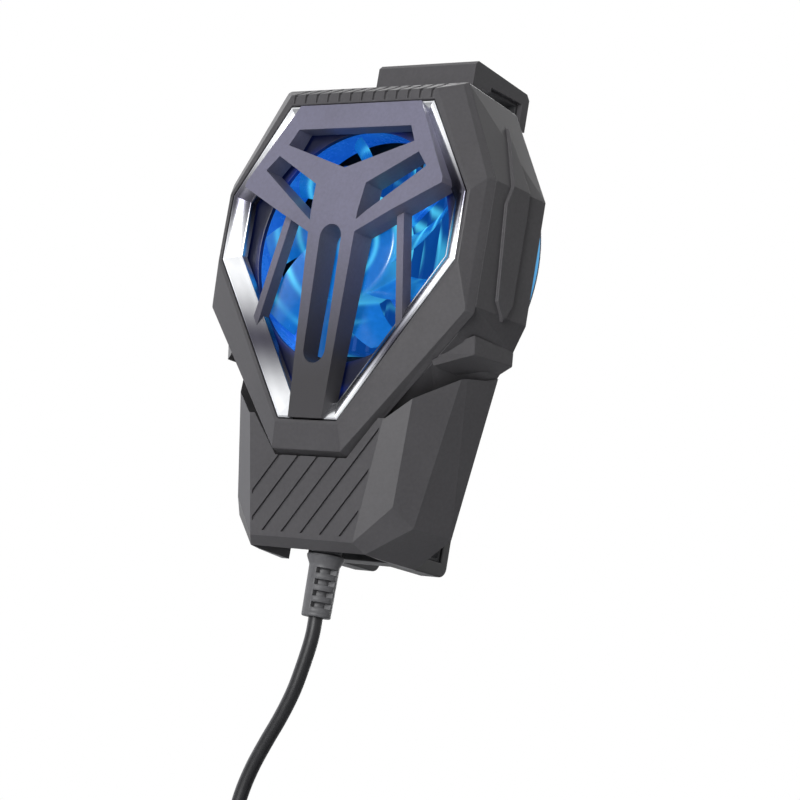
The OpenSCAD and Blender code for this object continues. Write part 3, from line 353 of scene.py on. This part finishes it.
def piece(name, grids, material, body, replaced=(), crease=40):
    """One object from several grids: seams and poles merged, faces turned outwards, edges over the crease
    angle kept sharp."""
    starts = np.cumsum([0] + [len(points) for points, _ in grids[:-1]])
    points = np.concatenate([points for points, _ in grids])
    quads = np.concatenate([quads + start for (_, quads), start in zip(grids, starts)])
    mesh = bpy.data.meshes.new(name)
    mesh.from_pydata(points.tolist(), [], quads.tolist())
    work = bmesh.new()
    work.from_mesh(mesh)
    bmesh.ops.remove_doubles(work, verts=work.verts, dist=MERGE_GAP)
    bmesh.ops.dissolve_degenerate(work, edges=work.edges, dist=MERGE_GAP / 2)
    bmesh.ops.recalc_face_normals(work, faces=work.faces)
    work.to_mesh(mesh)
    work.free()
    mesh.shade_smooth()
    mesh.set_sharp_from_angle(angle=math.radians(crease))
    mesh.materials.append(material)
    return dress(bpy.data.objects.new(name, mesh), body, replaced)


def eased(node, edge_mm, material, body="shell"):
    """A copy of a CAD node with its flat facets merged into convex faces and its corners rounded. An
    edge is rounded where it turns more than a round wall's facets do, or where two broad faces fold."""
    mesh = bpy.data.meshes.new(node + "_eased")
    work = bmesh.new()
    work.from_mesh(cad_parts[node].data)
    bmesh.ops.remove_doubles(work, verts=work.verts, dist=MERGE_GAP)
    bmesh.ops.dissolve_limit(work, angle_limit=FLAT_TURN, verts=work.verts, edges=work.edges)
    bmesh.ops.connect_verts_concave(work, faces=work.faces)
    weight = work.edges.layers.float.new("bevel_weight_edge")
    for edge in work.edges:
        turn = edge.calc_face_angle(0)
        broad = min([face.calc_area() for face in edge.link_faces], default=0) > BROAD_FACE
        edge[weight] = float(turn > ROUND_FACET_TURN or (broad and turn > FOLD_TURN))
    work.to_mesh(mesh)
    work.free()
    mesh.shade_smooth()
    mesh.materials.append(material)
    made = bpy.data.objects.new(node + "_eased", mesh)
    bevel = made.modifiers.new("eased_edges", "BEVEL")
    bevel.width = edge_mm * MM
    bevel.segments = EASE_SEGMENTS
    bevel.limit_method = "WEIGHT"
    even = made.modifiers.new("flat_faces", "WEIGHTED_NORMAL")
    even.mode = "FACE_AREA"
    even.weight = 100
    return dress(made, body, [node])


def swept(path, across, up, outline):
    """A closed outline carried along a path: each ring is the path point plus the outline's two
    coordinates along the across and up directions."""
    return path[:, None] + across[:, None] * outline[None, :, :1] + up[:, None] * outline[None, :, 1:]


def directions(path, guide):
    """Unit directions along a path, across it at right angles to the guide, and up from both."""
    along = np.gradient(path, axis=0)
    along /= np.linalg.norm(along, axis=1, keepdims=True)
    across = np.cross(along, guide)
    across /= np.linalg.norm(across, axis=1, keepdims=True)
    return along, across, np.cross(across, along)


def circle(radius, sides):
    """Points round a circle."""
    angle = np.linspace(0, TURN, sides, endpoint=False)
    return radius * np.stack([np.cos(angle), np.sin(angle)], -1)


def rounded_box(width, height, power, sides):
    """Points round a superellipse: cosine and sine raised to 2 / power, which squares the corners."""
    angle = np.linspace(0, TURN, sides, endpoint=False)
    cos, sin = np.cos(angle), np.sin(angle)
    return np.stack([width / 2 * np.sign(cos) * abs(cos) ** (2 / power),
                     height / 2 * np.sign(sin) * abs(sin) ** (2 / power)], -1)


def step(value, low, high):
    """Smooth rise from 0 at low to 1 at high."""
    t = np.clip((value - low) / (high - low), 0, 1)
    return t * t * (3 - 2 * t)


# Cable: hangs from the strain relief, then is put away in a coil above its plug

CABLE_D = 2.2 * MM
CABLE_Y = -8.7
COIL_Z = -101
COIL_INNER_R, COIL_PITCH, COIL_TURNS, COIL_LAYERS = 8, 2.7, 3, 4
COIL_OUTER_R = COIL_INNER_R + COIL_PITCH * COIL_TURNS
COIL_X = COIL_OUTER_R - 9
PLUG_TOP = -113
LEAD_ROUTE = [
    (0, CABLE_Y, -54.9), (0, CABLE_Y, -56.9), (-0.2, CABLE_Y, -58.9), (-0.8, CABLE_Y, -62),
    (-1.8, CABLE_Y, -66), (-3.4, CABLE_Y, -70), (-5.4, CABLE_Y, -74), (-7.2, CABLE_Y, -78),
    (-8.4, CABLE_Y, -82), (-8.9, CABLE_Y, -86), (-9, CABLE_Y, -90), (-9, CABLE_Y, -94),
    (-9, CABLE_Y, -98.8),
]


def smooth_route(points, steps):
    """A Catmull-Rom curve: between two points, a cubic whose slopes run from each neighbour to the next."""
    p = np.array(points, float)
    p = np.concatenate([[2 * p[0] - p[1]], p, [2 * p[-1] - p[-2]]])
    a, b, c, d = (p[i:len(p) - 3 + i, None] for i in range(4))
    t = np.linspace(0, 1, steps, endpoint=False)[None, :, None]
    bend, twist = 2 * a - 5 * b + 4 * c - d, 3 * b - a - 3 * c + d
    curve = 0.5 * (2 * b + (c - a) * t + bend * t ** 2 + twist * t ** 3)
    return np.concatenate([curve.reshape(-1, 3), p[-2:-1]])


def coil_route(rings):
    """Turns that spiral in and out at a steady rate, layer on layer: the radius follows the place within
    a pair of layers, and the layer rises over a half turn where the spiral turns back."""
    turn = np.arange(rings * COIL_TURNS * COIL_LAYERS + 1) / rings
    sweep = turn % (2 * COIL_TURNS)
    radius = COIL_OUTER_R - COIL_PITCH * np.minimum(sweep, 2 * COIL_TURNS - sweep)
    swap = np.floor(turn / COIL_TURNS + 0.5)
    near = turn - swap * COIL_TURNS
    at_end = (swap == 0) | (swap == COIL_LAYERS)
    climb = np.where(at_end, -(swap / COIL_LAYERS), np.clip(near / 0.5 - 0.5, -1, 0))
    layer = np.minimum(swap + climb, COIL_LAYERS - 1)
    angle = math.pi + TURN * turn
    return np.stack([COIL_X + radius * np.cos(angle), CABLE_Y + COIL_PITCH * layer,
                     COIL_Z + radius * np.sin(angle)], -1)


def make_cable():
    """The lead, the coil and the straight tail as one round tube."""
    coil = coil_route(36)
    tail = coil[-1] + np.linspace(0, 1, 8)[1:, None] * np.array([0, 0, PLUG_TOP - COIL_Z])
    path = MM * np.concatenate([smooth_route(LEAD_ROUTE, 6), coil, tail])
    _, across, up = directions(path, (0, 1, 0))
    tube = capped(swept(path, across, up, circle(CABLE_D / 2, 16)))
    made = piece("power_cable", [grid(tube, close_v=True)], cable_jacket, "shell",
                 ["cable", "cable_coil", "cable_tail"])
    return made, path


def make_tie():
    """A strap round the coil: a flat rounded strip carried round a rectangle with rounded corners."""
    low, high = (np.array(corner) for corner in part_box("cable_tie"))
    middle, half = (low + high) / 2, (high - low) / 2
    corner_r, strap_t, corner_steps = 2.1 * MM, 0.6 * MM, 9
    angle = ((np.arange(4)[:, None] + np.linspace(0, 1, corner_steps)[None, :]) * TURN / 4).reshape(-1)
    sign = np.array([(0, 1, 1), (0, -1, 1), (0, -1, -1), (0, 1, -1)])
    centre = np.repeat(sign * (half - corner_r), corner_steps, axis=0)
    out = np.stack([0 * angle, np.cos(angle), np.sin(angle)], -1)
    path = middle + centre + out * (corner_r - strap_t / 2)
    strip = rounded_box(2 * half[0], strap_t, 6, 32)
    across = np.broadcast_to(np.array([1.0, 0, 0]), path.shape)
    return piece("cable_tie_strap", [grid(swept(path, across, out, strip), True, True)], soft_rubber,
                 "shell", ["cable_tie"])


PLUG_X, PLUG_Y = -9 * MM, -0.6 * MM


def make_plug_body():
    """Overmould of the plug: rounded boxes stacked down the axis, with a tapered ribbed neck and shallow
    grip grooves across the two broad faces."""
    low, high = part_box("plug_body")
    neck, neck_d, rib_h, rib_pitch = 5 * MM, 3.6 * MM, 0.35 * MM, 1.2 * MM
    foot_r, grip_half, grip_pitch, grip_cut = 0.4 * MM, 5.4 * MM, 1.8 * MM, 0.9 * MM
    shoulder, flare = high.z - neck, neck * 0.3
    z = np.concatenate([
        np.linspace(high.z, shoulder, 40),
        shoulder - flare * np.linspace(0, 1, 10)[1:] ** 2,
        np.linspace(shoulder - flare, low.z + foot_r, 90)[1:],
        np.linspace(low.z + foot_r, low.z, 6)[1:],
    ])
    spread = step(shoulder - z, -0.2 * MM, flare)
    ribs = rib_h * (0.5 - 0.5 * np.cos(TURN * (high.z - z) / rib_pitch)) * (1 - spread)
    taper = 0.7 * MM * (high.z - z) / neck * (1 - spread)
    foot = foot_r * step(low.z + foot_r - z, 0, foot_r)
    round_part = (neck_d + taper - ribs) * (1 - spread) - 2 * foot
    width = round_part + (high.x - low.x) * spread
    middle = (low.z + shoulder) / 2
    grip = (abs(z - middle) < grip_half) * np.clip(np.cos(TURN * (z - middle) / grip_pitch) - 0.2, 0, 1)
    depth = round_part + (high.y - low.y) * spread - grip_cut * grip
    unit = rounded_box(2, 2, 5, 72)
    rings = np.stack([PLUG_X + width[:, None] / 2 * unit[None, :, 0],
                      PLUG_Y + depth[:, None] / 2 * unit[None, :, 1],
                      np.broadcast_to(z[:, None], (len(z), len(unit)))], -1)
    return piece("plug_overmould", [grid(capped(rings), close_v=True)], black_abs, "shell",
                 ["plug_body"])


def make_plug_contacts():
    """Four gold strips on the tongue: small rounded boxes drawn along the plug."""
    low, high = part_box("plug_tongue")
    strip_w, strip_t, end_taper = 1.0 * MM, 0.16 * MM, 0.4 * MM
    z = np.linspace(low.z + 1.2 * MM, high.z - 2 * MM, 12)
    taper = np.minimum(1, 0.5 + np.minimum(z - z[0], z[-1] - z) / end_taper)
    strip = rounded_box(strip_w, strip_t, 6, 16)
    grids = []
    for offset in (-3.5, -1.0, 1.0, 3.5):
        rings = np.stack([PLUG_X + offset * MM + taper[:, None] * strip[None, :, 0],
                          low.y + taper[:, None] * strip[None, :, 1],
                          np.broadcast_to(z[:, None], (len(z), len(strip)))], -1)
        grids.append(grid(capped(rings), close_v=True))
    return piece("plug_contacts", grids, gold_flash, "shell")


RELIEF_TURN = math.radians(-35)
CHIN_FOOT = -45.75 * MM


def make_relief():
    """A round boot below a conical flange: two rows of four slots, on opposite sides, cut it back to a core
    with a smooth step in angle and height, and the ribs between them bulge a little."""
    low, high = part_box("strain_relief")
    axis_y = CABLE_Y * MM
    boot_r, neck_r, flange_rise, collar_rise = 2.3 * MM, 2.28 * MM, 0.55 * MM, 0.87 * MM
    flange_h, collar_z, foot_h, foot_cut = 1.7 * MM, (1.7 * MM, 1.9 * MM), 0.15 * MM, 0.12 * MM
    slots, slot_top, slot_room, slot_cut, bulge_h = 4, 1.9 * MM, 2.4 * MM, 0.95 * MM, 0.08 * MM
    z = np.concatenate([np.linspace(high.z, CHIN_FOOT, 14), np.linspace(CHIN_FOOT, low.z, 220)[1:]])
    angle = np.linspace(0, TURN, 144, endpoint=False)
    below = CHIN_FOOT - z
    length = CHIN_FOOT - low.z
    body = boot_r - 0.1 * MM * below / length
    outer = body + flange_rise * (1 - step(below, 0.1 * MM, flange_h))
    outer = np.where(below < 0, neck_r + collar_rise * step(-below, *collar_z), outer)
    outer = outer - foot_cut * step(low.z + foot_h - z, 0, foot_h)
    phase = (below - slot_top) * slots / (length - slot_room)
    inside = (phase > 0) & (phase < slots)
    wave = np.cos(TURN * (phase - 0.28))
    cut = (slot_cut * step(wave, 0, 0.18) + bulge_h * wave) * inside
    side = step(abs(np.cos(angle - RELIEF_TURN)), 0.7, 0.77)
    radius = outer[:, None] - side[None, :] * cut[:, None]
    rings = np.stack([radius * np.cos(angle), axis_y + radius * np.sin(angle),
                      np.broadcast_to(z[:, None], radius.shape)], -1)
    return piece("strain_relief_boot", [grid(capped(rings), close_v=True)], relief_rubber, "shell",
                 ["strain_relief"], crease=50)


cable, cable_path = make_cable()
relief = make_relief()
tie = make_tie()
plug_parts = [make_plug_body(), make_plug_contacts(), eased("plug_shell", 0.15, nickel_plate)]


# Chrome trim

TRIM_CORNERS = [(10.8, 21.3), (13.74, 21.3), (22.4, 7.27), (22.4, -2.87), (5.65, -27.1), (2.8, -27.1)]
TRIM_FRONT, TRIM_SEAT = 18.5, 16
TRIM_W, TRIM_FALL, TRIM_CREST, TRIM_LIP = 2.9, 1.2, 0.4, 0.3


def make_trim():
    """A run of sloping trim on each side: a section carried along the rim's corners, where each corner
    moves in along its mitre by the section's width. The section rises up a wall, rounds a crest, and
    falls in a slow crown to a rounded inner edge and its own wall."""
    corners = np.array(TRIM_CORNERS)
    along = np.diff(corners, axis=0)
    along /= np.linalg.norm(along, axis=1, keepdims=True)
    inward = np.stack([along[:, 1], -along[:, 0]], -1)
    before = np.concatenate([inward[:1], inward])
    after = np.concatenate([inward, inward[-1:]])
    mitre = (before + after) / (1 + (before * after).sum(1, keepdims=True))
    rise = np.linspace(0, TURN / 4, 14)
    crest = np.stack([TRIM_CREST * (1 - np.cos(rise)), TRIM_FRONT - TRIM_CREST * (1 - np.sin(rise))], -1)
    fall = np.linspace(0, 1, 22)[1:]
    crown = np.stack([TRIM_CREST + (TRIM_W - TRIM_LIP - TRIM_CREST) * fall,
                      TRIM_FRONT - TRIM_FALL * (0.35 * fall + 0.65 * fall ** 2)], -1)
    lip = crown[-1] + TRIM_LIP * np.stack([np.sin(rise), np.cos(rise) - 1], -1)[1:]
    foot = [[TRIM_W, TRIM_SEAT], [0, TRIM_SEAT], [0, crest[0, 1]]]
    section = np.concatenate([crest, crown, lip, foot])
    place = corners[:, None] + mitre[:, None] * section[None, :, :1]
    depth = np.broadcast_to(-section[:, 1], place.shape[:2])
    grids = []
    for side in (1, -1):
        run = MM * np.stack([side * place[..., 0], depth, place[..., 1]], -1)
        grids.append(grid(capped(run), close_v=True))
    return piece("chrome_trim_ring", grids, chrome_plate_painted_reflection, "shell", ["chrome_trim"], crease=9)


make_trim()


# Fan

BLADES = 9


def make_rotor():
    """A hub turned from a rounded profile and swept blades: each blade's section is a thin closed aerofoil
    whose middle line turns back and leans with the radius."""
    low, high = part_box("fan_rotor")
    tip_r = high.x - 0.05 * MM
    hub_r, hub_round, hub_wall, dish = 8.6 * MM, 0.8 * MM, 0.9 * MM, 0.15 * MM
    blade_t, camber, sweep, pitch_r = 0.34 * MM, 0.35 * MM, np.radians(22), 9 * MM
    rear_gap, front_gap = 0.4 * MM, 0.3 * MM
    front, back = -low.y, -high.y
    ease = np.linspace(0, TURN / 4, 9)
    profile = np.concatenate([
        [[0, front - dish], [2.2 * MM, front - dish], [2.4 * MM, front], [hub_r - hub_round, front]],
        np.stack([hub_r - hub_round * (1 - np.sin(ease)), front - hub_round * (1 - np.cos(ease))], -1),
        [[hub_r, back], [hub_r - hub_wall, back]],
        [[hub_r - hub_wall, front - hub_wall], [0, front - hub_wall]],
    ])
    angle = np.linspace(0, TURN, 96, endpoint=False)
    hub = np.stack([profile[:, :1] * np.cos(angle), np.broadcast_to(-profile[:, 1:], (len(profile), 96)),
                    profile[:, :1] * np.sin(angle)], -1)
    grids = [grid(hub, close_v=True)]
    share = np.linspace(0, 1, 22)[:, None]
    root_r = hub_r - 0.2 * MM
    radius = root_r + (tip_r - root_r) * share
    round_s = np.linspace(0, TURN, 36, endpoint=False)[None, :]
    chord = 0.5 - 0.5 * np.cos(round_s)
    thick = blade_t * np.sin(round_s) * (1.15 - 0.5 * chord) + 0 * share
    half = np.radians(17 - 4 * share) * pitch_r / radius
    lean = half * (1 - 2 * chord) + sweep * share
    rear, travel = back + rear_gap, front - back - rear_gap - front_gap
    depth = rear + travel * chord + camber * np.sin(math.pi * chord)
    for i in range(BLADES):
        spin = lean + thick / radius - TURN * i / BLADES
        rings = np.stack([radius * np.cos(spin), -depth + 0 * spin, radius * np.sin(spin)], -1)
        grids.append(grid(capped(rings), close_v=True))
    return piece("fan_impeller", grids, blue_polycarbonate, "fan", ["fan_rotor"], crease=35)


make_rotor()


# Fasteners

HEAD_R, HEAD_T = 1.4 * MM, 0.6 * MM


def make_screws(node, head_t, name):
    """Four pan screws at the corners of the node's box: a turned profile whose face is pressed in by a
    cross recess, where either arm of the cross covers the point."""
    low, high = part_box(node)
    face, tip = high.y, low.y
    spots = [(sx * (high.x - HEAD_R), z) for sx in (-1, 1) for z in (high.z - HEAD_R, low.z + HEAD_R)]
    face_rings, shank_r = 26, 0.75 * MM
    rim = [HEAD_R - 0.04 * MM, HEAD_R, HEAD_R, shank_r, shank_r, 0]
    radius = np.concatenate([np.linspace(0, HEAD_R - 0.15 * MM, face_rings), rim])
    rim_drop = [0.03 * MM, 0.12 * MM, head_t, head_t, face - tip, face - tip]
    drop = np.concatenate([np.zeros(face_rings), rim_drop])
    angle = np.linspace(0, TURN, 64, endpoint=False)
    x, z = radius[:, None] * np.cos(angle), radius[:, None] * np.sin(angle)
    arm_edge, arm_end = (0.14 * MM, 0.22 * MM), (0.72 * MM, 0.86 * MM)
    near_x, near_z = (1 - step(abs(place), *arm_edge) for place in (x, z))
    short_x, short_z = (1 - step(abs(place), *arm_end) for place in (x, z))
    recess = 0.8 * head_t * np.maximum(near_x * short_z, near_z * short_x) * (drop < 0.01 * MM)[:, None]
    y = face - drop[:, None] - recess
    grids = [grid(np.stack([x + sx, y, z + sz], -1), close_v=True) for sx, sz in spots]
    return piece(name, grids, zinc_steel, "shell", [node], crease=35)


make_screws("back_screws", HEAD_T, "back_plate_screws")
make_screws("bracket_screws", 0.3 * MM, "slide_bracket_screws")


# Claw spring

def make_spring():
    """Close curls between two ends on the axis: the radius rises from nothing and falls again over the
    first and last half curl, and the wire's section turns with the curl."""
    low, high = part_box("claw_spring")
    wire, coil_r, curls = 0.15 * MM, 0.8 * MM, 16
    axis_y = (low.y + high.y) / 2
    t = np.linspace(0, 1, curls * 20 + 1)
    angle = TURN * curls * t
    radius = coil_r * step(t, 0, 0.5 / curls) * step(1 - t, 0, 0.5 / curls)
    out = np.stack([np.cos(angle), np.sin(angle), 0 * t], -1)
    path = out * radius[:, None] + np.stack([0 * t, 0 * t + axis_y, high.z + (low.z - high.z) * t], -1)
    along = np.gradient(path, axis=0)
    along /= np.linalg.norm(along, axis=1, keepdims=True)
    up = np.cross(along, out)
    up /= np.linalg.norm(up, axis=1, keepdims=True)
    tube = capped(swept(path, np.cross(up, along), up, circle(wire, 10)))
    made = piece("claw_spring_coil", [grid(tube, close_v=True)], spring_wire, None, ["claw_spring"])
    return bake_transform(made)


make_spring()


# Rigid shells: the CAD form with its moulded edge rounds

for node, edge_mm, material, slot in [
    ("front_bezel", 0.28, gunmetal_lacquer, "grey_shell"),
    ("mid_housing", 0.3, gunmetal_lacquer, "grey_shell"),
    ("chin_cover", 0.22, gunmetal_lacquer, "grey_shell"),
    ("grille", 0.16, violet_lacquer_painted_shade, "grey_shell"),
    ("upper_claw", 0.3, gunmetal_lacquer, "grey_shell"),
    ("fan_shroud", 0.15, shroud_abs, "black_plastic"),
    ("chassis", 0.2, black_abs, "black_plastic"),
    ("back_plate", 0.12, black_abs, "black_plastic"),
    ("light_ring", 0.2, light_guide, "light_guide"),
    ("upper_claw_pad", 0.15, soft_rubber, "soft_rubber"),
    ("contact_pad", 0.25, thermal_silicone, "silicone"),
    ("slide_bracket", 0.06, zinc_steel, "steel"),
]:
    eased(node, edge_mm, material)
eased("lower_claw", 0.4, black_abs, "claw")
eased("lower_claw_pad", 0.15, soft_rubber, "claw")

for node, material in {
    "lamp_board": solder_resist, "lamps": lamp_resin, "fan_frame": frame_polycarbonate,
    "rotor_magnet": bonded_ferrite, "fan_shaft": zinc_steel, "fan_bearing": sintered_bronze,
    "stator_core": zinc_steel, "stator_coils": enamelled_copper, "motor_board": solder_resist,
    "heat_sink": blue_anodised, "thermoelectric_module": alumina, "module_gasket": cell_foam,
    "cold_plate": milled_aluminium, "main_board": solder_resist, "fan_lead": cable_jacket,
    "power_lead": cable_jacket, "spring_post": zinc_steel, "housing_screws": zinc_steel,
    "fan_screws": zinc_steel, "claw_screws": zinc_steel, "plug_tongue": white_insert,
}.items():
    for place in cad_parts[node].material_slots:
        place.material = material


# Studio: a pale floor under the hanging plug, white surroundings, a key, a fill, a top and a back light

LIGHT_AIM = Vector((0, -0.01, -0.01))
FLOOR_REACH, FLOOR_DROP = 4, 0.5 * MM


def make_floor():
    """A disc of rings about the object, flat, its edge far outside any view."""
    radius = np.linspace(0, FLOOR_REACH, 12)[:, None]
    angle = np.linspace(0, TURN, 64, endpoint=False)
    points = np.stack([radius * np.cos(angle), radius * np.sin(angle),
                       np.full((12, 64), cad_low.z - FLOOR_DROP)], -1)
    vertices, quads = grid(points, close_v=True)
    mesh = bpy.data.meshes.new("studio_floor")
    mesh.from_pydata(vertices.tolist(), [], quads.tolist())
    mesh.materials.append(finish("studio_floor", "#d6d6d8", "#cecfd0", 400, (0.7, 0.8), 60, 0.01))
    floor = bpy.data.objects.new("studio_floor", mesh)
    bpy.context.scene.collection.objects.link(floor)


def make_light(name, spot, size, power, colour):
    """A square soft light that faces the shell."""
    data = bpy.data.lights.new(name, "AREA")
    data.size = size
    data.energy = power
    data.color = linear(colour)[:3]
    lamp = bpy.data.objects.new(name, data)
    lamp.location = spot
    lamp.rotation_euler = (LIGHT_AIM - Vector(spot)).to_track_quat("-Z", "Y").to_euler()
    bpy.context.scene.collection.objects.link(lamp)


def make_world():
    """White where the camera, a mirror or clear plastic sees it, and an even soft level everywhere else."""
    world = bpy.data.worlds.new("studio_world")
    world.use_nodes = True
    tree = world.node_tree
    path = add(tree, "ShaderNodeLightPath")
    seen = add(tree, "ShaderNodeMath", {0: path.outputs["Is Camera Ray"], 1: path.outputs["Is Glossy Ray"]},
               operation="ADD")
    seen = add(tree, "ShaderNodeMath", {0: seen.outputs[0], 1: path.outputs["Is Transmission Ray"]},
               operation="ADD", use_clamp=True)
    soft = add(tree, "ShaderNodeBackground", {"Color": linear("#eef1f6"), "Strength": 0.08})
    white = add(tree, "ShaderNodeBackground", {"Color": linear("#ffffff"), "Strength": 1.0})
    mixed = add(tree, "ShaderNodeMixShader", {0: seen.outputs[0], 1: soft.outputs[0], 2: white.outputs[0]})
    tree.links.new(mixed.outputs[0], tree.nodes["World Output"].inputs["Surface"])
    bpy.context.scene.world = world


make_floor()
make_light("key_front", (0.26, -1.15, 0.14), 0.45, 15, "#ffffff")
make_light("fill_left", (-1.15, -0.1, 0.1), 1.1, 4.5, "#f6f7ff")
make_light("top", (0.0, -0.3, 1.1), 0.5, 2.5, "#ffffff")
make_light("back", (-0.5, 1.1, 0.35), 0.8, 10, "#ffffff")
make_world()
bpy.context.scene.view_settings.view_transform = "Standard"
